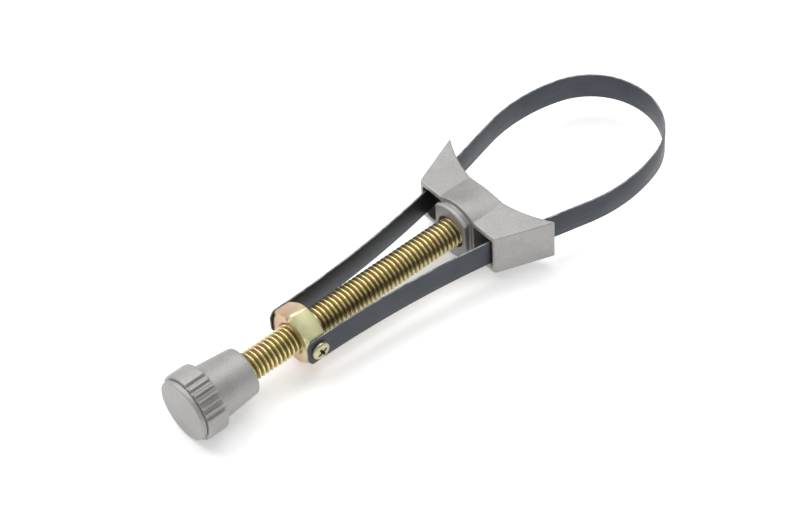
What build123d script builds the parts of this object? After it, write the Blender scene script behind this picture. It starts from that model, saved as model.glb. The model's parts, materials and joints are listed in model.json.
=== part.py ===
from build123d import *
import os
from math import atan2, cos, degrees, hypot, radians, sin, sqrt

os.makedirs("parts", exist_ok=True)

# Adjustable band oil filter wrench, in millimetres, +Z up.
# The screw axis is the X axis, the knob is at -X and the band's loop is at +X.
# The origin is the centre of the loop's round front, where the filter is gripped.

# ---------------------------------------------------------------- driving dimensions
THREAD_R = 6.35           # 1/2 inch screw, modelled at its major diameter
NUT_AF = 22.0             # 7/8 inch class hexagon
NUT_FRONT_X = -159.8
NUT_LENGTH = 9.5
NUT_BORE_R = THREAD_R + 0.06
NUT_SINK_R = 7.4

BAND_W = 12.5
BAND_T = 0.7
LOOP_R = 30.0             # centre line of the strip
LOOP_SWEEP = 72.0
FLANK_R = 70.0
FLANK_SWEEP = 32.0
THROAT_LENGTH = 40.3      # straight run through the yoke
BEND_R = 100.0
BEND_SWEEP = 3.6
# Where the hinge lines lie on each half of the strip, as shares of its length from the nut.
HINGE_SHARES = (0, 1 / 8, 4 / 8, 5 / 8, 6 / 8, 7 / 8)
SEAM = 0.4                # gap left at every hinge line
TIP_GAP = 0.25            # half of the gap at the loop's middle
TAB_OVERHANG = 0.8
TAB_CORNER = 2.8
TAB_CORNER_R = 1.2

SCREW_X = NUT_FRONT_X + NUT_LENGTH / 2
SCREW_R = 2.0
SCREW_HEAD_R = 4.0
SCREW_HEAD_H = 2.3
SCREW_LENGTH = 3.4
CROSS_LENGTH = 4.6
CROSS_WIDTH = 1.05
CROSS_DEPTH = 1.3
CROSS_ANGLE = 27.0
HEAD_RIM_H = 0.9
HEAD_SHOULDER_IN = 0.45
HEAD_SHOULDER_H = 1.75
HEAD_TOP_IN = 1.4
SCREW_CHAMFER = 0.4
PUNCH_Y = 1.0             # punch mark beside the nut's upper corner
PUNCH_Z = 10.6
PUNCH_R = 0.55
NUT_CHAMFER = 0.9

ARC_INSET = 1 - cos(radians(45))    # of a quarter round's middle from its square corner
KNOB_SEAM_X = -211.6
CAP_R = 13.1
CAP_LENGTH = 2.2
CAP_ROUND = 1.6
RING_R = 14.5
RING_LENGTH = 9.7
BARREL_R1 = 12.0
BARREL_R2 = 10.2
BARREL_LENGTH = 18.5
RIB_GROUPS = 3
RIB_GROUP_ANGLE = 9.0
GROOVES_PER_GROUP = 6
GROOVE_PITCH = 12.4
GROOVE_R = 1.15
GROOVE_OUTSET = 0.25
GROOVE_CLEAR = 1.0
KNOB_EASE = 0.5
SEAM_GROOVE = 0.4
BARREL_ROUND = 1.6
BARREL_LIP_R = BARREL_R2 + 0.15
KNOB_BORE_DEPTH = 26.0

YOKE_REAR_X = -73.2
YOKE_REAR_HALF = 22.3
YOKE_TIP_X = -49.0
YOKE_TIP_HALF = 31.6
YOKE_HALF_HEIGHT = 9.9
ARCH_FRONT_X = -56.0
ARCH_REAR_WIDE = 16.4
ARCH_REAR_HIGH = 13.2
ARCH_FRONT_WIDE = 23.1
ARCH_FRONT_HIGH = 11.5
SADDLE_MID_X = -57.9
SADDLE_R = 58.4
ROOF = 2.5
BOSS_HALF = 9.5
SIDE_WALL = 1.8
WEB = 3.2
SLOT_SIDE = 1.45          # from the strip's centre line to the slot's inner wall
SLOT_FLARE = 0.9          # further room on the slot's outer side
REAR_CORNER_R = 1.5
TIP_CORNER_R = 0.3
RIM_R = 0.25

FLANGE_X = -77.1
FLANGE_T = 2.0
FLANGE_R = 12.6
FLANGE_HALF = 8.9
NECK_R = 11.2
NECK_HALF = 7.9
SOCKET_R = 7.1
SOCKET_BOTTOM_X = -65.0
JOURNAL_R = 4.0
JOURNAL_CLEAR = 0.08
WASHER_T = 1.5
WASHER_R = 6.8
END_PLAY = 0.3
COUNTERBORE_X = -61.6
COUNTERBORE_R = 7.5
RING_T = 1.0
RING_OUTER_R = 6.2
RING_GROOVE_R = 3.2
RING_MOUTH_HALF = 2.7
RING_LOBE_R = 0.9
ROD_CHAMFER = 1.0
JOURNAL_CHAMFER = 0.4
ROD_END_X = -59.3


# ---------------------------------------------------------------- centre line of the strip
# One half of the strip, walked from the middle of the loop back to the nut. A piece is
# (start x, start y, heading in degrees, length, signed radius), and a straight has radius 0.
def step_along(piece, distance):
    x, y, heading, _, radius = piece
    if radius == 0:
        return x + distance * cos(radians(heading)), y + distance * sin(radians(heading)), heading
    turned = heading + degrees(distance / radius)
    centre_x = x - radius * sin(radians(heading))
    centre_y = y + radius * cos(radians(heading))
    return centre_x + radius * sin(radians(turned)), centre_y - radius * cos(radians(turned)), turned


def half_band():
    pieces = []
    x, y, heading = LOOP_R, 0.0, 90.0
    shapes = [
        (radians(LOOP_SWEEP) * LOOP_R, LOOP_R),
        (radians(FLANK_SWEEP) * FLANK_R, FLANK_R),
        (THROAT_LENGTH, 0.0),
        (radians(BEND_SWEEP) * BEND_R, -BEND_R),
    ]
    for length, radius in shapes:
        piece = (x, y, heading, length, radius)
        pieces.append(piece)
        x, y, heading = step_along(piece, length)
    # The leg is one shallow arc from the yoke to the rear edge of the nut's flat.
    end_x = NUT_FRONT_X + NUT_LENGTH
    end_y = NUT_AF / 2 + BAND_T / 2
    chord = hypot(end_x - x, end_y - y)
    chord_heading = degrees(atan2(end_y - y, end_x - x)) % 360
    leg_sweep = 2 * (heading - chord_heading)
    leg_r = chord / 2 / sin(radians(leg_sweep / 2))
    pieces.append((x, y, heading, radians(leg_sweep) * leg_r, -leg_r))
    return pieces


BAND_PIECES = half_band()
HALF_LENGTH = sum(piece[3] for piece in BAND_PIECES)


def strip_point(piece, distance, offset, sign):
    x, y, heading = step_along(piece, distance)
    x += offset * sin(radians(heading))
    y -= offset * cos(radians(heading))
    return x, sign * y


def strip_edge(start, end, offset, sign):
    # Draws one long edge of the strip between two distances from the loop's middle.
    travelled = 0.0
    for piece in BAND_PIECES:
        a = max(start - travelled, 0.0)
        b = min(end - travelled, piece[3])
        if b - a > 1e-6:
            first = strip_point(piece, a, offset, sign)
            last = strip_point(piece, b, offset, sign)
            if piece[4] == 0:
                Line(first, last)
            else:
                ThreePointArc(first, strip_point(piece, (a + b) / 2, offset, sign), last)
        travelled += piece[3]


def centre_at(distance):
    travelled = 0.0
    for piece in BAND_PIECES:
        if distance <= travelled + piece[3] + 1e-9:
            return piece, distance - travelled
        travelled += piece[3]
    return BAND_PIECES[-1], BAND_PIECES[-1][3]


def strip_outline(start, end, sign):
    strip_edge(start, end, BAND_T / 2, sign)
    strip_edge(start, end, -BAND_T / 2, sign)
    for distance in (start, end):
        piece, local = centre_at(distance)
        Line(
            strip_point(piece, local, BAND_T / 2, sign),
            strip_point(piece, local, -BAND_T / 2, sign),
        )


# ---------------------------------------------------------------- yoke
def throat_y(x):
    # Height of the strip's centre line above the screw axis where it crosses the yoke.
    start_x, start_y, heading, _, _ = BAND_PIECES[2]
    return start_y + (x - start_x) * sin(radians(heading)) / cos(radians(heading))


def saddle_x(y):
    return SADDLE_MID_X + SADDLE_R - sqrt(SADDLE_R**2 - y**2)


# The arch over the screw, wider and flatter at the saddle than at the rear.
with BuildPart() as arch:
    arch_stations = (
        (YOKE_REAR_X, ARCH_REAR_WIDE, ARCH_REAR_HIGH),
        (ARCH_FRONT_X, ARCH_FRONT_WIDE, ARCH_FRONT_HIGH),
    )
    for station_x, wide, high in arch_stations:
        with BuildSketch(Plane.YZ.offset(station_x)) as arch_section:
            with BuildLine() as arch_line:
                ThreePointArc((-wide, 0), (0, high), (wide, 0))
                ThreePointArc((wide, 0), (0, -high), (-wide, 0))
            make_face()
    loft(ruled=True)
    with BuildSketch(Plane.XY) as arch_cut:
        with Locations((SADDLE_MID_X + SADDLE_R, 0)):
            Circle(SADDLE_R)
    extrude(amount=2 * ARCH_REAR_HIGH, both=True, mode=Mode.SUBTRACT)

with BuildPart() as yoke:
    with BuildSketch(Plane.XY) as claws_plan:
        with BuildLine() as claws_line:
            Polyline(
                (YOKE_REAR_X, -YOKE_REAR_HALF),
                (YOKE_TIP_X, -YOKE_TIP_HALF),
                (YOKE_TIP_X, YOKE_TIP_HALF),
                (YOKE_REAR_X, YOKE_REAR_HALF),
                close=True,
            )
        make_face()
    extrude(amount=YOKE_HALF_HEIGHT, both=True)
    # The saddle that backs up against the filter.
    with BuildSketch(Plane.XY) as saddle_plan:
        with Locations((SADDLE_MID_X + SADDLE_R, 0)):
            Circle(SADDLE_R)
    extrude(amount=2 * YOKE_HALF_HEIGHT, both=True, mode=Mode.SUBTRACT)
    upright_edges = yoke.edges().filter_by(Axis.Z)
    rear_corners = [edge for edge in upright_edges if edge.center().X < YOKE_REAR_X + 0.1]
    fillet(rear_corners, radius=REAR_CORNER_R)
    upright_edges = yoke.edges().filter_by(Axis.Z)
    tip_corners = [edge for edge in upright_edges if abs(edge.center().Y) > YOKE_TIP_HALF - 2]
    fillet(tip_corners, radius=TIP_CORNER_R)
    rim_edges = [
        edge
        for edge in yoke.edges()
        if edge.bounding_box().size.Z < 0.01
        and abs(abs(edge.center().Z) - YOKE_HALF_HEIGHT) < 0.01
        and abs(edge.center().Y) > BOSS_HALF
    ]
    fillet(rim_edges, radius=RIM_R)
    add(arch.part)
    # Flange and neck of the screw's boss, behind the rear face.
    with BuildSketch(Plane.YZ.offset(FLANGE_X)) as flange_section:
        Circle(FLANGE_R)
        Rectangle(2 * FLANGE_HALF, 4 * FLANGE_R, mode=Mode.INTERSECT)
    extrude(amount=FLANGE_T)
    with BuildSketch(Plane.YZ.offset(FLANGE_X + FLANGE_T)) as neck_section:
        Circle(NECK_R)
        Rectangle(2 * NECK_HALF, 4 * NECK_R, mode=Mode.INTERSECT)
    extrude(amount=YOKE_REAR_X - FLANGE_X)
    # A pocket each side of the boss, open at the rear, that narrows to the strip's slot.
    with BuildSketch(Plane.XY) as pocket_plan:
        for sign in (-1, 1):
            with BuildLine() as pocket_line:
                inner_slot = throat_y(YOKE_TIP_X + 2) - SLOT_SIDE
                slot_root_x = saddle_x(YOKE_REAR_HALF) - WEB
                Polyline(
                    (YOKE_REAR_X - 1, sign * BOSS_HALF),
                    (YOKE_REAR_X - 1, sign * (YOKE_REAR_HALF - SIDE_WALL - 0.3)),
                    (YOKE_REAR_X, sign * (YOKE_REAR_HALF - SIDE_WALL)),
                    (YOKE_TIP_X + 2, sign * (throat_y(YOKE_TIP_X + 2) + SLOT_SIDE + SLOT_FLARE)),
                    (YOKE_TIP_X + 2, sign * inner_slot),
                    (slot_root_x, sign * (throat_y(slot_root_x) - SLOT_SIDE)),
                    (saddle_x(BOSS_HALF) - WEB, sign * BOSS_HALF),
                    close=True,
                )
            make_face()
    extrude(amount=YOKE_HALF_HEIGHT - ROOF, both=True, mode=Mode.SUBTRACT)
    # Socket for the screw, its journal hole and the recess for the retaining ring.
    with BuildSketch(Plane.YZ.offset(FLANGE_X)) as socket_section:
        Circle(SOCKET_R)
    extrude(amount=SOCKET_BOTTOM_X - FLANGE_X, mode=Mode.SUBTRACT)
    with BuildSketch(Plane.YZ.offset(FLANGE_X)) as journal_section:
        Circle(JOURNAL_R + JOURNAL_CLEAR)
    extrude(amount=YOKE_TIP_X - FLANGE_X, mode=Mode.SUBTRACT)
    with BuildSketch(Plane.YZ.offset(COUNTERBORE_X)) as recess_section:
        Circle(COUNTERBORE_R)
    extrude(amount=YOKE_TIP_X - COUNTERBORE_X, mode=Mode.SUBTRACT)
yoke.part.label = "yoke"
export_step(yoke.part, "parts/yoke.step")

# ---------------------------------------------------------------- screw, washer and ring
SHOULDER_X = SOCKET_BOTTOM_X - WASHER_T - END_PLAY
ROD_START_X = KNOB_SEAM_X + RING_LENGTH + BARREL_LENGTH - KNOB_BORE_DEPTH
RING_X = COUNTERBORE_X + END_PLAY
with BuildPart() as threaded_rod:
    with BuildSketch(Plane.XZ) as rod_profile:
        with BuildLine() as rod_line:
            Polyline(
                (ROD_START_X, 0),
                (ROD_START_X, THREAD_R - ROD_CHAMFER),
                (ROD_START_X + ROD_CHAMFER, THREAD_R),
                (SHOULDER_X - ROD_CHAMFER, THREAD_R),
                (SHOULDER_X, THREAD_R - ROD_CHAMFER),
                (SHOULDER_X, JOURNAL_R),
                (RING_X, JOURNAL_R),
                (RING_X, RING_GROOVE_R),
                (RING_X + RING_T, RING_GROOVE_R),
                (RING_X + RING_T, JOURNAL_R),
                (ROD_END_X - JOURNAL_CHAMFER, JOURNAL_R),
                (ROD_END_X, JOURNAL_R - JOURNAL_CHAMFER),
                (ROD_END_X, 0),
                close=True,
            )
        make_face()
    revolve(axis=Axis.X)
threaded_rod.part.label = "threaded_rod"
export_step(threaded_rod.part, "parts/threaded_rod.step")

with BuildPart() as thrust_washer:
    with BuildSketch(Plane.YZ.offset(SOCKET_BOTTOM_X - WASHER_T)) as washer_section:
        Circle(WASHER_R)
        Circle(JOURNAL_R + JOURNAL_CLEAR, mode=Mode.SUBTRACT)
    extrude(amount=WASHER_T)
thrust_washer.part.label = "thrust_washer"
export_step(thrust_washer.part, "parts/thrust_washer.step")

with BuildPart() as retaining_ring:
    with BuildSketch(Plane.YZ.offset(RING_X)) as ring_section:
        Circle(RING_OUTER_R)
        Circle(RING_GROOVE_R, mode=Mode.SUBTRACT)
        # The mouth that lets the ring be pushed on from the side.
        with Locations((0, -RING_OUTER_R)):
            Rectangle(2 * RING_MOUTH_HALF, 2 * RING_OUTER_R, mode=Mode.SUBTRACT)
        # Relief scallops between the three gripping lobes.
        with PolarLocations(RING_GROOVE_R + 0.2, 2, start_angle=35, angular_range=110, endpoint=True):
            Circle(RING_LOBE_R, mode=Mode.SUBTRACT)
    extrude(amount=RING_T)
retaining_ring.part.label = "retaining_ring"
export_step(retaining_ring.part, "parts/retaining_ring.step")

# ---------------------------------------------------------------- knob
RING_END_X = KNOB_SEAM_X + RING_LENGTH
BARREL_END_X = RING_END_X + BARREL_LENGTH
with BuildPart() as knob:
    with BuildSketch(Plane.XZ) as knob_profile:
        with BuildLine() as knob_line:
            Polyline(
                (KNOB_SEAM_X - CAP_LENGTH, 0),
                (KNOB_SEAM_X - CAP_LENGTH, CAP_R - CAP_ROUND),
            )
            ThreePointArc(
                (KNOB_SEAM_X - CAP_LENGTH, CAP_R - CAP_ROUND),
                (KNOB_SEAM_X - CAP_LENGTH + ARC_INSET * CAP_ROUND, CAP_R - ARC_INSET * CAP_ROUND),
                (KNOB_SEAM_X - CAP_LENGTH + CAP_ROUND, CAP_R),
            )
            Polyline(
                (KNOB_SEAM_X - CAP_LENGTH + CAP_ROUND, CAP_R),
                (KNOB_SEAM_X - SEAM_GROOVE, CAP_R),
                (KNOB_SEAM_X - SEAM_GROOVE, CAP_R - KNOB_EASE),
                (KNOB_SEAM_X, CAP_R - KNOB_EASE),
                (KNOB_SEAM_X, RING_R - KNOB_EASE),
                (KNOB_SEAM_X + KNOB_EASE, RING_R),
                (RING_END_X - KNOB_EASE, RING_R),
                (RING_END_X, RING_R - KNOB_EASE),
                (RING_END_X, BARREL_R1),
                (BARREL_END_X - BARREL_ROUND, BARREL_LIP_R),
            )
            ThreePointArc(
                (BARREL_END_X - BARREL_ROUND, BARREL_LIP_R),
                (BARREL_END_X - ARC_INSET * BARREL_ROUND, BARREL_LIP_R - ARC_INSET * BARREL_ROUND),
                (BARREL_END_X, BARREL_LIP_R - BARREL_ROUND),
            )
            Polyline(
                (BARREL_END_X, BARREL_LIP_R - BARREL_ROUND),
                (BARREL_END_X, THREAD_R),
                (ROD_START_X, THREAD_R),
                (ROD_START_X, 0),
                (KNOB_SEAM_X - CAP_LENGTH, 0),
            )
        make_face()
    revolve(axis=Axis.X)
    # Three groups of finger grooves with wide smooth pads between them.
    with BuildSketch(Plane.YZ.offset(KNOB_SEAM_X)) as groove_section:
        for group in range(RIB_GROUPS):
            middle = RIB_GROUP_ANGLE + group * 360 / RIB_GROUPS
            first = middle - GROOVE_PITCH * (GROOVES_PER_GROUP - 1) / 2
            with PolarLocations(
                RING_R + GROOVE_OUTSET,
                GROOVES_PER_GROUP,
                start_angle=first,
                angular_range=GROOVE_PITCH * (GROOVES_PER_GROUP - 1),
                endpoint=True,
            ):
                Circle(GROOVE_R)
    extrude(amount=RING_LENGTH + GROOVE_CLEAR, mode=Mode.SUBTRACT)
knob.part.label = "knob"
export_step(knob.part, "parts/knob.step")

# ---------------------------------------------------------------- nut and band screws
NUT_REAR_X = NUT_FRONT_X + NUT_LENGTH
with BuildPart() as nut:
    with BuildSketch(Plane.YZ.offset(NUT_FRONT_X)) as nut_section:
        # Two flats face +Y and -Y, so that a corner is uppermost.
        RegularPolygon(NUT_AF / 2, 6, major_radius=False, rotation=30)
    extrude(amount=NUT_LENGTH)
    # Corner chamfers at both faces.
    with BuildSketch(Plane.XZ) as chamfer_profile:
        corner_r = NUT_AF / 2 / cos(radians(30)) + 0.1
        with BuildLine() as chamfer_line:
            Polyline(
                (NUT_FRONT_X, 0),
                (NUT_FRONT_X, NUT_AF / 2),
                (NUT_FRONT_X + NUT_CHAMFER, corner_r),
                (NUT_REAR_X - NUT_CHAMFER, corner_r),
                (NUT_REAR_X, NUT_AF / 2),
                (NUT_REAR_X, 0),
                close=True,
            )
        make_face()
    revolve(axis=Axis.X, mode=Mode.INTERSECT)
    with BuildSketch(Plane.XZ) as bore_profile:
        with BuildLine() as bore_line:
            Polyline(
                (NUT_FRONT_X - 1, 0),
                (NUT_FRONT_X - 1, NUT_SINK_R),
                (NUT_FRONT_X, NUT_SINK_R),
                (NUT_FRONT_X + NUT_SINK_R - NUT_BORE_R, NUT_BORE_R),
                (NUT_REAR_X - NUT_SINK_R + NUT_BORE_R, NUT_BORE_R),
                (NUT_REAR_X, NUT_SINK_R),
                (NUT_REAR_X + 1, NUT_SINK_R),
                (NUT_REAR_X + 1, 0),
                close=True,
            )
        make_face()
    revolve(axis=Axis.X, mode=Mode.SUBTRACT)
    # Tapped holes for the two band screws, and the punch mark beside the upper corner.
    with BuildSketch(Plane.XZ) as tapped_plan:
        with Locations((SCREW_X, 0)):
            Circle(SCREW_R)
    extrude(amount=NUT_AF, both=True, mode=Mode.SUBTRACT)
    with Locations((NUT_FRONT_X, PUNCH_Y, PUNCH_Z)):
        Sphere(PUNCH_R, mode=Mode.SUBTRACT)
nut.part.label = "nut"
export_step(nut.part, "parts/nut.step")

HEAD_BASE = NUT_AF / 2 + BAND_T
for side, sign in (("left", 1), ("right", -1)):
    with BuildPart() as band_screw:
        head_plane = Plane(origin=(SCREW_X, 0, 0), x_dir=(1, 0, 0), z_dir=(0, 0, 1))
        with BuildSketch(head_plane) as screw_profile:
            with BuildLine() as screw_line:
                Polyline(
                    (0, sign * (HEAD_BASE + SCREW_HEAD_H)),
                    (0, sign * (HEAD_BASE - SCREW_LENGTH)),
                    (SCREW_R - SCREW_CHAMFER, sign * (HEAD_BASE - SCREW_LENGTH)),
                    (SCREW_R, sign * (HEAD_BASE - SCREW_LENGTH + SCREW_CHAMFER)),
                    (SCREW_R, sign * HEAD_BASE),
                    (SCREW_HEAD_R, sign * HEAD_BASE),
                    (SCREW_HEAD_R, sign * (HEAD_BASE + HEAD_RIM_H)),
                    (SCREW_HEAD_R - HEAD_SHOULDER_IN, sign * (HEAD_BASE + HEAD_SHOULDER_H)),
                    (SCREW_HEAD_R - HEAD_TOP_IN, sign * (HEAD_BASE + SCREW_HEAD_H)),
                    close=True,
                )
            make_face()
        revolve(axis=Axis((SCREW_X, 0, 0), (0, 1, 0)))
        # Cross recess.
        cross_y = sign * (HEAD_BASE + SCREW_HEAD_H)
        cross_plane = Plane(origin=(SCREW_X, cross_y, 0), x_dir=(1, 0, 0), z_dir=(0, -sign, 0))
        with BuildSketch(cross_plane) as cross_plan:
            with Locations(Rotation(0, 0, CROSS_ANGLE)):
                Rectangle(CROSS_LENGTH, CROSS_WIDTH)
                Rectangle(CROSS_WIDTH, CROSS_LENGTH)
        extrude(amount=CROSS_DEPTH, mode=Mode.SUBTRACT)
    band_screw.part.label = f"band_screw_{side}"
    export_step(band_screw.part, f"parts/band_screw_{side}.step")

# ---------------------------------------------------------------- strip: ends and links
for side, sign in (("left", 1), ("right", -1)):
    tab_plane = Plane(origin=(0, sign * NUT_AF / 2, 0), x_dir=(1, 0, 0), z_dir=(0, sign, 0))
    tab_start = NUT_FRONT_X - TAB_OVERHANG
    tab_end = NUT_REAR_X - SEAM / 2
    with BuildPart() as band_end:
        with BuildSketch(tab_plane) as tab_plan:
            with BuildLine() as tab_line:
                Polyline(
                    (tab_start, -BAND_W / 2 + TAB_CORNER),
                    (tab_start + TAB_CORNER, -BAND_W / 2),
                    (tab_end, -BAND_W / 2),
                    (tab_end, BAND_W / 2),
                    (tab_start + TAB_CORNER, BAND_W / 2),
                    (tab_start, BAND_W / 2 - TAB_CORNER),
                    close=True,
                )
            make_face()
            fillet(tab_plan.vertices().group_by(Axis.X)[0], radius=TAB_CORNER_R)
            with Locations((SCREW_X, 0)):
                Circle(SCREW_R, mode=Mode.SUBTRACT)
        extrude(amount=BAND_T)
    band_end.part.label = f"band_end_{side}"
    export_step(band_end.part, f"parts/band_end_{side}.step")

    # Link 1 is next to the nut and the last link ends at the middle of the loop.
    for number, share in enumerate(HINGE_SHARES, start=1):
        far_end = HALF_LENGTH * (1 - share) - SEAM / 2
        near_end = TIP_GAP
        if number < len(HINGE_SHARES):
            near_end = HALF_LENGTH * (1 - HINGE_SHARES[number]) + SEAM / 2
        with BuildPart() as band_link:
            with BuildSketch(Plane.XY) as link_plan:
                with BuildLine() as link_line:
                    strip_outline(near_end, far_end, sign)
                make_face()
            extrude(amount=BAND_W / 2, both=True)
        band_link.part.label = f"band_link_{side}_{number}"
        export_step(band_link.part, f"parts/band_link_{side}_{number}.step")
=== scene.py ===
import json
import math

import bmesh
import bpy
import numpy as np
from mathutils import Matrix, Vector


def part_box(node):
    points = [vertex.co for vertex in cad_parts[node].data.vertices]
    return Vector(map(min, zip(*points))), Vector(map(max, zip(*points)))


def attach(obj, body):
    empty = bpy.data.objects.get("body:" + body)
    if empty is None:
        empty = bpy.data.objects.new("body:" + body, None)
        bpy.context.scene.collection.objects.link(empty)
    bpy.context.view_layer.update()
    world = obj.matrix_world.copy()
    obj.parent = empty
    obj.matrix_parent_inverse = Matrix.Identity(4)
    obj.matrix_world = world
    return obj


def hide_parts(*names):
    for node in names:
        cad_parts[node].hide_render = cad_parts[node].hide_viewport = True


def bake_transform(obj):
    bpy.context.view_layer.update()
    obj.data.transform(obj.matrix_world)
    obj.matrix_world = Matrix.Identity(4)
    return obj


# Oil filter wrench, in metres, in the CAD model's frame. The screw axis is X.
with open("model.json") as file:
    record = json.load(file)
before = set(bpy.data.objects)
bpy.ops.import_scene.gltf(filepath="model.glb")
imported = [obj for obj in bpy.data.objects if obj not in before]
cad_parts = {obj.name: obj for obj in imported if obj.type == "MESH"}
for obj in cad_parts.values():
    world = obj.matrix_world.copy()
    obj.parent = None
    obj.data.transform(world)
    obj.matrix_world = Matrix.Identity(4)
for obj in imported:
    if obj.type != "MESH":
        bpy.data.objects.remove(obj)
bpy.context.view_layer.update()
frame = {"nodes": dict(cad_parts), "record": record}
MM = 0.001
JOINTS = {joint["name"]: joint for joint in frame["record"]["behaviour"]["joints"]}

# ---------------------------------------------------------------- sizes
THREAD_PITCH = 25.4 / 12 * MM
THREAD_R = 6.35 * MM
THREAD_DEPTH = 1.15 * MM
THREAD_EASE = 0.04 * MM         # the crest lies this far inside the nominal radius
JOURNAL_R = 4.0 * MM
RING_GROOVE_R = 3.2 * MM

SEAM_FROM_FACE = 2.2 * MM       # from the knob's outer face to the seam behind its cap
CAP_R = 13.1 * MM
CAP_ROUND = 1.6 * MM
RING_R = 14.5 * MM
RING_LENGTH = 9.7 * MM
BARREL_R1 = 12.0 * MM
BARREL_R2 = 10.2 * MM
KNOB_BORE_R = 5.2 * MM
KNOB_ROUND = 0.9 * MM
FACE_HUB_R = 0.4 * MM
RIB_GROUPS = 3
GROOVES = 6
GROOVE_PITCH = math.radians(12.4)
GROOVE_GROUP_ANGLE = math.radians(9)
GROOVE_DEPTH = 1.35 * MM
GROOVE_HALF = math.radians(4.9)

NUT_BORE_R = 6.0 * MM
NUT_SINK_R = 7.4 * MM
NUT_EASE = 0.35 * MM
PUNCH_AT = (1.2 * MM, 10.0 * MM)
PUNCH_R = 0.65 * MM
PUNCH_DEPTH = 0.55 * MM

HEAD_R = 4.0 * MM
HEAD_H = 2.25 * MM
HEAD_RIM_H = 0.95 * MM
SHANK_R = 1.95 * MM
SHANK_LENGTH = 3.3 * MM
CROSS_TURN = math.radians(27)
CROSS_DEPTH = 1.2 * MM

BAND_T = 0.7 * MM
BAND_W = 12.5 * MM
TAB_CLIP = 2.9 * MM
LINE_STEP = 0.5 * MM            # longest step between points of the strip's centre line
TAB_STEP = 0.35 * MM
TIP_GAP = 0.012 * MM            # half of the hairline where the band's two halves meet
LOOP_R = 30.0 * MM
LOOP_SWEEP = math.radians(72)
FLANK_R = 70.0 * MM
FLANK_SWEEP = math.radians(32)
THROAT_LENGTH = 40.3 * MM
BEND_R = 100.0 * MM
BEND_SWEEP = math.radians(3.6)
LINKS = sum(name.startswith("band_left_hinge") for name in JOINTS)


# ---------------------------------------------------------------- mesh helpers
def new_object(name, vertices, faces, material, smooth_angle=35):
    mesh = bpy.data.meshes.new(name)
    mesh.from_pydata([tuple(v) for v in vertices], [], faces)
    work = bmesh.new()
    work.from_mesh(mesh)
    bmesh.ops.remove_doubles(work, verts=work.verts, dist=2e-6)
    bmesh.ops.dissolve_degenerate(work, edges=work.edges, dist=1e-7)
    bmesh.ops.recalc_face_normals(work, faces=work.faces)
    work.to_mesh(mesh)
    work.free()
    mesh.shade_smooth()
    mesh.set_sharp_from_angle(angle=math.radians(smooth_angle))
    obj = bpy.data.objects.new(name, mesh)
    bpy.context.scene.collection.objects.link(obj)
    mesh.materials.append(material)
    return obj


def tube_faces(rows, columns, close_ends=True):
    """Faces of a grid of rows x columns points whose columns wrap round."""
    faces = []
    for i in range(rows - 1):
        for j in range(columns):
            k = (j + 1) % columns
            faces.append((i * columns + j, i * columns + k, (i + 1) * columns + k, (i + 1) * columns + j))
    if close_ends:
        faces.append(tuple(range(columns))[::-1])
        faces.append(tuple(range((rows - 1) * columns, rows * columns)))
    return faces


def turned(name, profile, radius_at, columns, material, smooth_angle=35):
    """A body turned about X. radius_at(x, r, angle) may change a row's radius with the angle."""
    vertices = []
    for x, r in profile:
        for j in range(columns):
            angle = 2 * math.pi * j / columns
            here = radius_at(x, r, angle)
            vertices.append((x, here * math.cos(angle), here * math.sin(angle)))
    return new_object(name, vertices, tube_faces(len(profile), columns), material, smooth_angle)


def smoothstep(a, b, x):
    t = max(0.0, min(1.0, (x - a) / (b - a)))
    return t * t * (3 - 2 * t)


# ---------------------------------------------------------------- material helpers
class Nodes:
    """A short way to build a node material."""

    def __init__(self, name):
        self.material = bpy.data.materials.new(name)
        self.material.use_nodes = True
        self.tree = self.material.node_tree
        self.shader = self.tree.nodes["Principled BSDF"]
        self.coordinates = self.tree.nodes.new("ShaderNodeTexCoord")

    def add(self, kind, **settings):
        node = self.tree.nodes.new("ShaderNode" + kind)
        for key, value in settings.items():
            if key in node.inputs:
                node.inputs[key].default_value = value
            else:
                setattr(node, key, value)
        return node

    def link(self, a, b):
        self.tree.links.new(a, b)

    def noise(self, scale, detail=4.0, roughness=0.55, stretch=(1, 1, 1), distortion=0.0):
        mapping = self.add("Mapping")
        mapping.inputs["Scale"].default_value = stretch
        self.link(self.coordinates.outputs["Object"], mapping.inputs["Vector"])
        noise = self.add("TexNoise", Scale=scale, Detail=detail, Roughness=roughness, Distortion=distortion)
        self.link(mapping.outputs["Vector"], noise.inputs["Vector"])
        return noise.outputs["Fac"]

    def ramp(self, fac, stops):
        ramp = self.add("ValToRGB")
        elements = ramp.color_ramp.elements
        while len(elements) < len(stops):
            elements.new(0.5)
        for element, (position, colour) in zip(elements, stops):
            element.position = position
            element.color = (*colour, 1)
        self.link(fac, ramp.inputs["Fac"])
        return ramp.outputs["Color"]

    def mix(self, fac, a, b, blend="MIX"):
        node = self.add("Mix", data_type="RGBA", blend_type=blend)
        for value, socket in ((fac, node.inputs[0]), (a, node.inputs[6]), (b, node.inputs[7])):
            if isinstance(value, (int, float)):
                socket.default_value = value
            elif isinstance(value, tuple):
                socket.default_value = (*value, 1)
            else:
                self.link(value, socket)
        return node.outputs[2]

    def bump(self, height, strength, distance, below=None):
        node = self.add("Bump", Strength=strength, Distance=distance)
        self.link(height, node.inputs["Height"])
        if below is not None:
            self.link(below, node.inputs["Normal"])
        return node.outputs["Normal"]

    def spread(self, fac, low, high, to_low, to_high):
        node = self.add("MapRange")
        for key, value in (("From Min", low), ("From Max", high), ("To Min", to_low), ("To Max", to_high)):
            node.inputs[key].default_value = value
        self.link(fac, node.inputs["Value"])
        return node.outputs["Result"]


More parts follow.
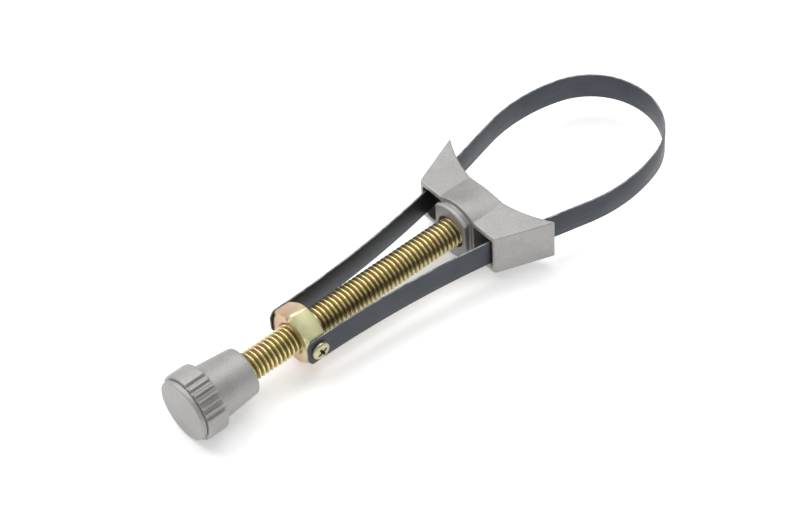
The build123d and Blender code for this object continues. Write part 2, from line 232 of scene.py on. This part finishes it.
def cast_aluminium():
    """Die-cast aluminium, blasted: warm grey with a fine, quiet grain."""
    n = Nodes("cast_aluminium")
    n.shader.inputs["Metallic"].default_value = 0.7
    patches = n.noise(70, 4, 0.55)
    colour = n.ramp(patches, [(0.3, (0.365, 0.355, 0.347)), (0.7, (0.46, 0.45, 0.44))])
    grain = n.noise(3200, 2, 0.5)
    speck = n.ramp(grain, [(0.34, (0.82, 0.82, 0.82)), (0.66, (1.12, 1.12, 1.12))])
    n.link(n.mix(1.0, colour, speck, "MULTIPLY"), n.shader.inputs["Base Color"])
    n.link(n.spread(patches, 0.3, 0.7, 0.48, 0.6), n.shader.inputs["Roughness"])
    coarse = n.bump(n.noise(600, 2, 0.5), 0.12, 0.0002)
    n.link(n.bump(grain, 0.12, 0.0001, coarse), n.shader.inputs["Normal"])
    return n.material


def blued_steel():
    """Spring steel strip with a blue-black oxide, lightly rolled along its length."""
    n = Nodes("blued_steel")
    n.shader.inputs["Metallic"].default_value = 0.75
    patches = n.noise(35, 4, 0.6)
    colour = n.ramp(patches, [(0.3, (0.048, 0.053, 0.064)), (0.7, (0.078, 0.086, 0.102))])
    n.link(colour, n.shader.inputs["Base Color"])
    streaks = n.noise(900, 3, 0.6, (0.06, 0.06, 1.0))
    n.link(n.spread(streaks, 0.3, 0.7, 0.36, 0.5), n.shader.inputs["Roughness"])
    n.link(n.bump(streaks, 0.12, 0.00005), n.shader.inputs["Normal"])
    return n.material


def sheared_edge():
    """The strip's slit edges, where the oxide has worn to grey steel."""
    n = Nodes("sheared_edge")
    n.shader.inputs["Metallic"].default_value = 0.85
    wear = n.noise(240, 4, 0.6)
    colour = n.ramp(wear, [(0.38, (0.10, 0.105, 0.115)), (0.62, (0.30, 0.30, 0.29))])
    n.link(colour, n.shader.inputs["Base Color"])
    n.link(n.spread(wear, 0.3, 0.7, 0.5, 0.35), n.shader.inputs["Roughness"])
    return n.material


def yellow_zinc(name, stops, scale, rough):
    """Zinc plate with a yellow chromate film whose colour drifts between gold, green and pink."""
    n = Nodes(name)
    n.shader.inputs["Metallic"].default_value = 0.92
    film = n.noise(scale, 3, 0.5, distortion=0.6)
    colour = n.ramp(film, stops)
    fine = n.noise(900, 3, 0.6)
    shade = n.ramp(fine, [(0.35, (0.9, 0.9, 0.9)), (0.65, (1.06, 1.06, 1.06))])
    n.colour = n.mix(1.0, colour, shade, "MULTIPLY")
    n.link(n.colour, n.shader.inputs["Base Color"])
    n.link(n.spread(fine, 0.3, 0.7, rough, rough + 0.12), n.shader.inputs["Roughness"])
    return n


def paint_thread_shade_and_highlight(n):
    """Painted shade and highlight: brown and darker at the foot of the thread, lighter on its crest."""
    split = n.add("SeparateXYZ")
    n.link(n.coordinates.outputs["Object"], split.inputs["Vector"])
    flat = n.add("CombineXYZ")
    n.link(split.outputs["Y"], flat.inputs["Y"])
    n.link(split.outputs["Z"], flat.inputs["Z"])
    length = n.add("VectorMath", operation="LENGTH")
    n.link(flat.outputs["Vector"], length.inputs[0])
    height = n.spread(length.outputs["Value"], THREAD_R - THREAD_DEPTH, THREAD_R, 0.0, 1.0)
    # Painted shade in the thread's roots, painted highlight on its crests.
    stops = [(0.05, (0.34, 0.27, 0.17)), (0.5, (0.85, 0.82, 0.74)), (0.9, (1.12, 1.12, 1.12))]
    shade = n.ramp(height, stops)
    n.link(n.mix(1.0, n.colour, shade, "MULTIPLY"), n.shader.inputs["Base Color"])
    n.link(n.spread(height, 0.1, 0.8, 0.5, 0.24), n.shader.inputs["Roughness"])


def tint_nut_flats_with_painted_light(n):
    """The film's own copper pink and yellow green, placed as painted light: pink over most of the nut,
    lighter yellow green on the flat that faces up and out.
    """
    split = n.add("SeparateXYZ")
    n.link(n.coordinates.outputs["Object"], split.inputs["Vector"])
    lean = n.add("Math", operation="MULTIPLY_ADD")
    lean.inputs[1].default_value = 0.5
    n.link(split.outputs["Z"], lean.inputs[0])
    flip = n.add("Math", operation="MULTIPLY")
    flip.inputs[1].default_value = -1.0
    n.link(split.outputs["Y"], flip.inputs[0])
    n.link(flip.outputs["Value"], lean.inputs[2])
    # Painted light: the flat that faces up and out gets the lighter yellow green.
    side = n.spread(lean.outputs["Value"], 0.5 * MM, 9 * MM, 0.0, 1.0)
    wander = n.mix(0.42, side, n.noise(260, 4, 0.6))
    tint = n.ramp(
        wander,
        [
            (0.2, (0.52, 0.31, 0.20)),
            (0.42, (0.60, 0.42, 0.26)),
            (0.62, (0.66, 0.60, 0.38)),
            (0.8, (0.60, 0.66, 0.34)),
        ],
    )
    n.link(n.mix(0.75, n.colour, tint), n.shader.inputs["Base Color"])


def plain_steel():
    """Bare turned steel."""
    n = Nodes("plain_steel")
    n.shader.inputs["Metallic"].default_value = 0.9
    turned_marks = n.noise(500, 3, 0.6)
    colour = n.ramp(turned_marks, [(0.3, (0.33, 0.33, 0.33)), (0.7, (0.5, 0.5, 0.5))])
    n.link(colour, n.shader.inputs["Base Color"])
    n.link(n.spread(turned_marks, 0.3, 0.7, 0.3, 0.45), n.shader.inputs["Roughness"])
    return n.material


ALUMINIUM = cast_aluminium()
BLUED = blued_steel()
EDGE = sheared_edge()
rod_nodes = yellow_zinc(
    "rod_zinc",
    [
        (0.28, (0.56, 0.54, 0.26)),
        (0.44, (0.74, 0.62, 0.34)),
        (0.56, (0.70, 0.66, 0.36)),
        (0.72, (0.76, 0.54, 0.38)),
    ],
    130,
    0.26,
)
paint_thread_shade_and_highlight(rod_nodes)
ROD_ZINC = rod_nodes.material
nut_nodes = yellow_zinc(
    "nut_zinc",
    [
        (0.3, (0.80, 0.62, 0.42)),
        (0.45, (0.84, 0.68, 0.50)),
        (0.56, (0.76, 0.76, 0.46)),
        (0.7, (0.82, 0.58, 0.46)),
    ],
    90,
    0.3,
)
tint_nut_flats_with_painted_light(nut_nodes)
NUT_ZINC = nut_nodes.material
SCREW_ZINC = yellow_zinc(
    "screw_zinc",
    [(0.3, (0.50, 0.47, 0.28)), (0.5, (0.56, 0.51, 0.34)), (0.7, (0.50, 0.52, 0.32))],
    160,
    0.26,
).material
# Near-black material for the band screws' cross recess: painted shade.
RECESS_SHADE = yellow_zinc(
    "recess_painted_shade",
    [(0.3, (0.05, 0.045, 0.03)), (0.7, (0.11, 0.09, 0.05))],
    160,
    0.5,
).material
STEEL = plain_steel()


# ---------------------------------------------------------------- yoke
def soft_casting(node, name, voxel, rounds):
    """A copy of a CAD casting with its edges softened as a die leaves them."""
    source = frame["nodes"][node]
    obj = bpy.data.objects.new(name, source.data.copy())
    bpy.context.scene.collection.objects.link(obj)
    obj.data.transform(source.matrix_world)
    remesh = obj.modifiers.new("remesh", "REMESH")
    remesh.mode = "VOXEL"
    remesh.voxel_size = voxel
    smooth = obj.modifiers.new("smooth", "SMOOTH")
    smooth.factor = 0.5
    smooth.iterations = rounds
    depsgraph = bpy.context.evaluated_depsgraph_get()
    mesh = bpy.data.meshes.new_from_object(obj.evaluated_get(depsgraph))
    obj.modifiers.clear()
    obj.data = mesh
    mesh.materials.clear()
    mesh.materials.append(ALUMINIUM)
    mesh.shade_smooth()
    return obj


yoke = soft_casting("yoke", "yoke_casting", 0.32 * MM, 4)
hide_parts("yoke")
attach(yoke, "yoke")


# ---------------------------------------------------------------- screw
def screw_body():
    """The threaded length as a height field on a fine grid, then the journal in front of it."""
    end_play, end_taper, tip_chamfer = 0.3 * MM, 1.3 * MM, 0.4 * MM
    low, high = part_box("threaded_rod")
    washer_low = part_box("thrust_washer")[0][0]
    ring_low, ring_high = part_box("retaining_ring")[0][0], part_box("retaining_ring")[1][0]
    shoulder = washer_low - end_play
    columns, per_pitch = 80, 18
    step = THREAD_PITCH / per_pitch
    rows = int((shoulder - low[0]) / step)
    stations = [low[0] + i * step for i in range(rows)] + [shoulder]
    vertices = []
    for x in stations:
        for j in range(columns):
            turn = j / columns
            place = ((x - low[0]) / THREAD_PITCH - turn) % 1.0
            wave = abs(place - 0.5) * 2
            depth = THREAD_DEPTH * smoothstep(0.14, 0.88, wave)
            edge = min(x - low[0], shoulder - x)
            r = min(THREAD_R - THREAD_EASE - depth, THREAD_R - end_taper + edge)
            vertices.append((x, r * math.cos(2 * math.pi * turn), r * math.sin(2 * math.pi * turn)))
    journal = [
        (shoulder, JOURNAL_R),
        (ring_low, JOURNAL_R),
        (ring_low, RING_GROOVE_R),
        (ring_high, RING_GROOVE_R),
        (ring_high, JOURNAL_R),
        (high[0] - tip_chamfer, JOURNAL_R),
        (high[0], JOURNAL_R - tip_chamfer),
    ]
    for x, r in journal:
        for j in range(columns):
            angle = 2 * math.pi * j / columns
            vertices.append((x, r * math.cos(angle), r * math.sin(angle)))
    total = len(stations) + len(journal)
    return new_object("screw", vertices, tube_faces(total, columns), ROD_ZINC, 60)


screw = screw_body()
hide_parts("threaded_rod")
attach(screw, "screw")

for node in ("thrust_washer", "retaining_ring"):
    mesh = frame["nodes"][node].data
    mesh.materials.clear()
    mesh.materials.append(STEEL)


# ---------------------------------------------------------------- knob
def rounded(points, radius, steps=5):
    """A profile with each inner corner rounded by up to that radius."""
    result = [points[0]]
    for before, here, after in zip(points, points[1:], points[2:]):
        a, p, b = Vector(before), Vector(here), Vector(after)
        reach = min(radius, (p - a).length * 0.45, (b - p).length * 0.45)
        first, last = p + (a - p).normalized() * reach, p + (b - p).normalized() * reach
        for k in range(steps + 1):
            t = k / steps
            result.append(tuple((1 - t) ** 2 * first + 2 * t * (1 - t) * p + t * t * last))
    result.append(points[-1])
    return result


def subdivide(points, longest):
    result = [points[0]]
    for a, b in zip(points, points[1:]):
        length = math.dist(a, b)
        parts = max(1, math.ceil(length / longest))
        for k in range(1, parts + 1):
            t = k / parts
            result.append((a[0] + (b[0] - a[0]) * t, a[1] + (b[1] - a[1]) * t))
    return result


def groove_depth(angle):
    """Depth of the finger grooves at an angle round the ring: groups with plain pads between."""
    sector = 2 * math.pi / RIB_GROUPS
    local = (angle - GROOVE_GROUP_ANGLE + sector / 2) % sector - sector / 2
    first = -GROOVE_PITCH * (GROOVES - 1) / 2
    index = min(GROOVES - 1, max(0, round((local - first) / GROOVE_PITCH)))
    away = abs(local - (first + index * GROOVE_PITCH)) / GROOVE_HALF
    return GROOVE_DEPTH * (1 - smoothstep(0.35, 1.0, away)) ** 0.7 if away < 1 else 0.0


def make_knob():
    low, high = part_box("knob")
    seam = low[0] + SEAM_FROM_FACE
    seam_floor_r = CAP_R - 0.55 * MM
    ring_end = seam + RING_LENGTH
    cap_end = seam - 0.35 * MM
    cap = rounded([(low[0], 0.0), (low[0], CAP_R), (cap_end, CAP_R)], CAP_ROUND, 8)
    body = rounded(
        [
            (cap_end, CAP_R),
            (seam - 0.3 * MM, seam_floor_r),
            (seam + 0.1 * MM, seam_floor_r),
            (seam + 0.15 * MM, RING_R),
            (ring_end, RING_R),
            (ring_end + 0.1 * MM, BARREL_R1),
            (high[0], BARREL_R2),
            (high[0], KNOB_BORE_R),
        ],
        KNOB_ROUND,
        6,
    )
    # The face starts from a small ring, which turned() fills.
    profile = subdivide([(low[0], FACE_HUB_R)] + cap[1:] + body[1:], 1.0 * MM)
    ring_low, ring_high = seam + 0.12 * MM, ring_end + 0.05 * MM
    grooved_from_r = RING_R - 2.0 * MM

    def radius(x, r, angle):
        if x < ring_low or x > ring_high or r < grooved_from_r:
            return r
        return min(r, RING_R - groove_depth(angle))

    return turned("knob_casting", profile, radius, 720, ALUMINIUM, 50)


knob = make_knob()
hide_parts("knob")
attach(knob, "screw")


# ---------------------------------------------------------------- nut
def nut_radius(angle, across):
    """The hexagon's radius at an angle, with its upright edges eased."""
    local = (angle + math.pi / 6) % (math.pi / 3) - math.pi / 6
    flat = across / math.cos(local)
    corner = across / math.cos(math.pi / 6)
    return min(flat, corner - NUT_EASE * (1 - smoothstep(0.0, 0.09, math.pi / 6 - abs(local))))


def make_nut():
    low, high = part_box("nut")
    across = (high[1] - low[1]) / 2
    chamfer_r = across - 0.15 * MM
    slope = math.tan(math.radians(30))
    x0, x1 = low[0], high[0]
    # Rows run from inside the bore, out over the front face, back along the flats and in again.
    face_rings = 16
    sink_step = NUT_SINK_R - NUT_BORE_R
    bore_reach, sink_lip = 3.5 * MM, 0.05 * MM
    outside = ("ease", "chamfer", "shoulder", "side")
    rows = [(x0 + bore_reach, "bore", 0), (x0 + sink_step, "bore", 0), (x0 + sink_lip, "sink", 0)]
    rows += [(x0, "face", k / face_rings) for k in range(face_rings + 1)]
    rows += [(x0, kind, 0) for kind in outside]
    rows += [(x1, kind, 0) for kind in reversed(outside)]
    rows += [(x1, "face", 1), (x1, "face", 0)]
    rows += [(x1 - sink_lip, "sink", 0), (x1 - sink_step, "bore", 0), (x1 - bore_reach, "bore", 0)]
    columns = 288
    vertices = []
    for x, kind, share in rows:
        inward = 1 if x < (x0 + x1) / 2 else -1
        edge_x = x0 if inward > 0 else x1
        for j in range(columns):
            angle = 2 * math.pi * j / columns
            outer = nut_radius(angle, across)
            top = min(outer, chamfer_r) - NUT_EASE
            drop = max(0.0, outer - chamfer_r) * slope
            if kind == "bore":
                r, px = NUT_BORE_R, x
            elif kind == "sink":
                r, px = NUT_SINK_R - sink_lip, x
            elif kind == "face":
                r, px = NUT_SINK_R + (top - 0.2 * MM - NUT_SINK_R) * share, edge_x
                if inward > 0:
                    away = math.hypot(r * math.cos(angle) - PUNCH_AT[0], r * math.sin(angle) - PUNCH_AT[1])
                    px += PUNCH_DEPTH * max(0.0, 1 - (away / PUNCH_R) ** 2)
            elif kind == "ease":
                r, px = top, edge_x + inward * 0.04 * MM
            elif kind == "chamfer":
                r = top + NUT_EASE * 0.75
                px = edge_x + inward * (0.14 * MM + max(0.0, drop - 0.1 * MM) * 0.35)
            elif kind == "shoulder":
                r, px = outer - 0.1 * MM, edge_x + inward * (drop + 0.26 * MM)
            else:
                r, px = outer, edge_x + inward * (drop + 0.5 * MM)
            vertices.append((px, r * math.cos(angle), r * math.sin(angle)))
    obj = new_object("hex_nut", vertices, tube_faces(len(rows), columns, False), NUT_ZINC, 28)
    # The bore is closed by joining its last ring to its first.
    work = bmesh.new()
    work.from_mesh(obj.data)
    bmesh.ops.bridge_loops(work, edges=[edge for edge in work.edges if edge.is_boundary])
    bmesh.ops.recalc_face_normals(work, faces=work.faces)
    work.to_mesh(obj.data)
    work.free()
    return obj


nut = make_nut()
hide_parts("nut")
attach(nut, "nut")


# ---------------------------------------------------------------- band screws
def head_height(r):
    """Height of the pan head above the strip, without its recess."""
    return HEAD_H - (HEAD_H - HEAD_RIM_H) * (1 - math.sqrt(max(0.0, 1 - (r / HEAD_R) ** 4 * 0.98)))


def cross_share(u, v):
    """How deep the cross recess is at a place on the head, from 0 to 1."""
    cu = u * math.cos(CROSS_TURN) + v * math.sin(CROSS_TURN)
    cv = -u * math.sin(CROSS_TURN) + v * math.cos(CROSS_TURN)
    share = 1 - smoothstep(0.75 * MM, 1.15 * MM, math.hypot(cu, cv))
    for along, across in ((abs(cu), abs(cv)), (abs(cv), abs(cu))):
        arm = 1 - smoothstep(0.42 * MM, 0.56 * MM, across)
        share = max(share, arm * (1 - smoothstep(2.0 * MM, 2.4 * MM, along)))
    return share


def make_band_screw(side, sign):
    low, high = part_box(f"band_screw_{side}")
    x, z = (low[0] + high[0]) / 2, (low[2] + high[2]) / 2
    end_low, end_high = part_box(f"band_end_{side}")
    base = end_high[1] if sign > 0 else -end_low[1]
    rings, columns = 64, 160
    # Rows are (radius, height above the strip). A row without a height lies on the dome.
    rows = [(HEAD_R * k / rings, None) for k in range(1, rings + 1)]
    rows += [(HEAD_R, 0.12 * MM), (HEAD_R - 0.1 * MM, 0.0), (SHANK_R, 0.0)]
    rows += [(SHANK_R, 0.4 * MM - SHANK_LENGTH), (SHANK_R - 0.45 * MM, -SHANK_LENGTH)]
    vertices = []
    for r, height in rows:
        for j in range(columns):
            angle = 2 * math.pi * j / columns
            u, v = r * math.cos(angle), r * math.sin(angle)
            above = head_height(r) - CROSS_DEPTH * cross_share(u, v) if height is None else height
            vertices.append((x + u, sign * (base + above), z + v))
    obj = new_object(f"pan_screw_{side}", vertices, tube_faces(len(rows), columns), SCREW_ZINC, 40)
    # Faces deep in the cross recess take the near-black material: painted shade.
    obj.data.materials.append(RECESS_SHADE)
    for face in obj.data.polygons:
        away = math.hypot(face.center.x - x, face.center.z - z)
        above = abs(face.center.y) - base
        if away < 2.5 * MM and above > 0 and head_height(away) - above > 0.35 * MM:
            face.material_index = 1
    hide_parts(f"band_screw_{side}")
    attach(obj, "nut")


# ---------------------------------------------------------------- band
def centre_line():
    """Closely spaced points from the loop's middle back to the nut, as (x, y, heading)."""
    nut_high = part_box("nut")[1]
    end = (nut_high[0], nut_high[1] + BAND_T / 2)
    x, y, heading = LOOP_R, 0.0, math.pi / 2
    line = [(x, y, heading)]
    pieces = [
        (LOOP_SWEEP * LOOP_R, LOOP_R),
        (FLANK_SWEEP * FLANK_R, FLANK_R),
        (THROAT_LENGTH, None),
        (BEND_SWEEP * BEND_R, -BEND_R),
        (None, None),
    ]
    for length, radius in pieces:
        if length is None:
            # The leg: one shallow arc to the rear edge of the nut's flat.
            chord = math.hypot(end[0] - x, end[1] - y)
            sweep = 2 * (heading - math.atan2(end[1] - y, end[0] - x) % (2 * math.pi))
            radius = -chord / 2 / math.sin(sweep / 2)
            length = -sweep * radius
        steps = math.ceil(length / LINE_STEP)
        for k in range(1, steps + 1):
            s = length * k / steps
            if radius is None:
                line.append((x + s * math.cos(heading), y + s * math.sin(heading), heading))
            else:
                h = heading + s / radius
                cx, cy = x - radius * math.sin(heading), y + radius * math.cos(heading)
                line.append((cx + radius * math.sin(h), cy - radius * math.cos(h), h))
        x, y, heading = line[-1]
    return line


LINE = centre_line()
LENGTHS = [0.0]
for here, there in zip(LINE, LINE[1:]):
    LENGTHS.append(LENGTHS[-1] + math.dist(here[:2], there[:2]))


def place_at(distance):
    """Place and heading (x, y, heading) at a distance along the strip from the loop's middle."""
    return tuple(np.interp(distance, LENGTHS, [point[k] for point in LINE]) for k in range(3))


def strip_section():
    """The strip's section as (across, along width), with rounded slit edges."""
    t, w, ease = BAND_T / 2, BAND_W / 2, 0.14 * MM
    points = []
    for su, sw in ((1, 1), (-1, 1), (-1, -1), (1, -1)):
        corner = [
            (su * t, sw * (w - ease)),
            (su * (t - ease * 0.3), sw * (w - ease * 0.3)),
            (su * (t - ease), sw * w),
        ]
        if su * sw < 0:
            corner.reverse()
        points += corner
    return points


def strip_mesh(name, sign, rows, is_edge):
    """A closed strip through rows of (x, y, heading, half width), its slit edges in their own material."""
    section = strip_section()
    vertices = []
    for x, y, h, half in rows:
        for across, width in section:
            width *= half / (BAND_W / 2)
            vertices.append((x + across * math.sin(h), sign * (y - across * math.cos(h)), width))
    obj = new_object(name, vertices, tube_faces(len(rows), len(section)), BLUED, 40)
    obj.data.materials.append(EDGE)
    for face in obj.data.polygons:
        if is_edge(face):
            face.material_index = 1
    return obj


def strip_piece(name, sign, start, end):
    """A length of strip between two distances from the loop's middle."""
    inner = [s for s in LENGTHS if start + 0.1 * MM < s < end - 0.1 * MM]
    rows = [place_at(s) + (BAND_W / 2,) for s in [start] + inner + [end]]
    return strip_mesh(name, sign, rows, lambda face: abs(face.normal.z) > 0.5)


def tab_piece(side, sign):
    """The end of the strip on the nut's flat, with clipped corners, and the first half link."""
    low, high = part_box(f"band_end_{side}")
    w = BAND_W / 2
    y_mid = (low[1] + high[1]) / 2 * sign
    stations = [low[0] + 0.02 * MM]
    x = low[0]
    while x < high[0] - 0.2 * MM:
        x += TAB_STEP
        stations.append(x)
    rows = []
    for x in stations:
        # Half width at this distance from the free end: a clipped corner with a soft start.
        d = x - low[0]
        half = w - TAB_CLIP + 1.05 * d + 0.9 * MM * smoothstep(0, 1.0 * MM, d) - 0.2 * MM
        rows.append((x, y_mid, math.pi, min(w, half)))
    for s in reversed(LENGTHS):
        if s > MIDDLES[0] + 0.1 * MM and place_at(s)[0] > rows[-1][0] + 0.05 * MM:
            rows.append(place_at(s) + (w,))
    rows.append(place_at(MIDDLES[0]) + (w,))

    def is_edge(face):
        at_end = face.center.x < low[0] + 3 * MM
        return abs(face.normal.y) < 0.6 and (abs(face.normal.z) > 0.5 or at_end)

    return strip_mesh(f"band_tab_{side}", sign, rows, is_edge)


def distance_of(point):
    """How far along the strip, from the loop's middle, a hinge lies."""
    gaps = [math.dist((p[0], p[1]), (point[0], abs(point[1]))) for p in LINE]
    return LENGTHS[gaps.index(min(gaps))]


HINGES = [Vector(JOINTS[f"band_left_hinge_{k}"]["pos_m"]) for k in range(1, LINKS + 1)]
HINGE_AT = [distance_of(hinge) for hinge in HINGES] + [0.0]
MIDDLES = [(here + there) / 2 for here, there in zip(HINGE_AT, HINGE_AT[1:])]


def make_band(side, sign):
    """One half of the band: its end on the nut, then a piece of strip across each hinge."""
    tab = tab_piece(side, sign)
    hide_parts(f"band_end_{side}")
    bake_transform(tab)
    for k in range(1, LINKS + 1):
        # From the middle of link k to the middle of the next one, across their hinge.
        last = k == LINKS
        start = TIP_GAP if last else MIDDLES[k]
        piece = strip_piece(f"band_strip_{side}_{k}", sign, start, MIDDLES[k - 1])
        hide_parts(f"band_link_{side}_{k}")
        if last:
            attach(piece, f"band_{side}_{k}")
            continue
        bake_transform(piece)


for side, sign in (("left", 1), ("right", -1)):
    make_band_screw(side, sign)
    make_band(side, sign)


# ---------------------------------------------------------------- stage
def stage_floor():
    floor_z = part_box("knob")[0][2] - 0.02 * MM
    size = 3.0
    mesh = bpy.data.meshes.new("floor")
    corners = [(size * a, size * b, floor_z) for a, b in ((-1, -1), (1, -1), (1, 1), (-1, 1))]
    mesh.from_pydata(corners, [], [(0, 1, 2, 3)])
    n = Nodes("floor_white")
    n.shader.inputs["Roughness"].default_value = 0.9
    n.shader.inputs["Specular IOR Level"].default_value = 0.2
    n.shader.inputs["Emission Color"].default_value = (1, 1, 1, 1)
    n.shader.inputs["Emission Strength"].default_value = 0.3
    colour = n.ramp(n.noise(3, 2, 0.5), [(0.3, (0.93, 0.93, 0.93)), (0.7, (0.95, 0.95, 0.95))])
    n.link(colour, n.shader.inputs["Base Color"])
    mesh.materials.append(n.material)
    floor = bpy.data.objects.new("floor", mesh)
    bpy.context.scene.collection.objects.link(floor)


def area_light(name, place, target, power, size_x, size_y, colour=(1, 1, 1)):
    data = bpy.data.lights.new(name, "AREA")
    data.shape = "RECTANGLE"
    data.size, data.size_y = size_x, size_y
    data.energy = power
    data.color = colour
    light = bpy.data.objects.new(name, data)
    light.location = place
    light.rotation_euler = (Vector(target) - Vector(place)).to_track_quat("-Z", "Y").to_euler()
    bpy.context.scene.collection.objects.link(light)


stage_floor()
CENTRE = (-0.09, 0.0, 0.0)
area_light("key", (-0.35, 0.75, 0.95), CENTRE, 8, 0.9, 0.9)
area_light("fill", (-0.9, -0.5, 0.55), CENTRE, 0.5, 0.8, 0.8)
area_light("top", (0.35, 0.1, 1.1), CENTRE, 5, 0.8, 0.8)
world = bpy.data.worlds.new("studio")
world.use_nodes = True
world.node_tree.nodes["Background"].inputs["Color"].default_value = (1, 1, 1, 1)
world.node_tree.nodes["Background"].inputs["Strength"].default_value = 0.5
bpy.context.scene.world = world

# Camera solved from the photograph's perspective: position in metres, then its own axes.
camera_data = bpy.data.cameras.new("camera")
camera_data.sensor_width = 36.0
camera_data.lens = 142.6
camera_data.clip_end = 20
camera = bpy.data.objects.new("camera", camera_data)
right = Vector((0.756, -0.654, -0.041)).normalized()
backward = Vector((-0.415, -0.525, 0.743)).normalized()
up = backward.cross(right).normalized()
right = up.cross(backward)
camera_axes = Matrix((right, up, backward)).transposed().to_4x4()
camera.matrix_world = Matrix.Translation((-0.62456, -0.65913, 0.93272)) @ camera_axes
bpy.context.scene.collection.objects.link(camera)
bpy.context.scene.camera = camera
bpy.context.scene.view_settings.view_transform = "Standard"
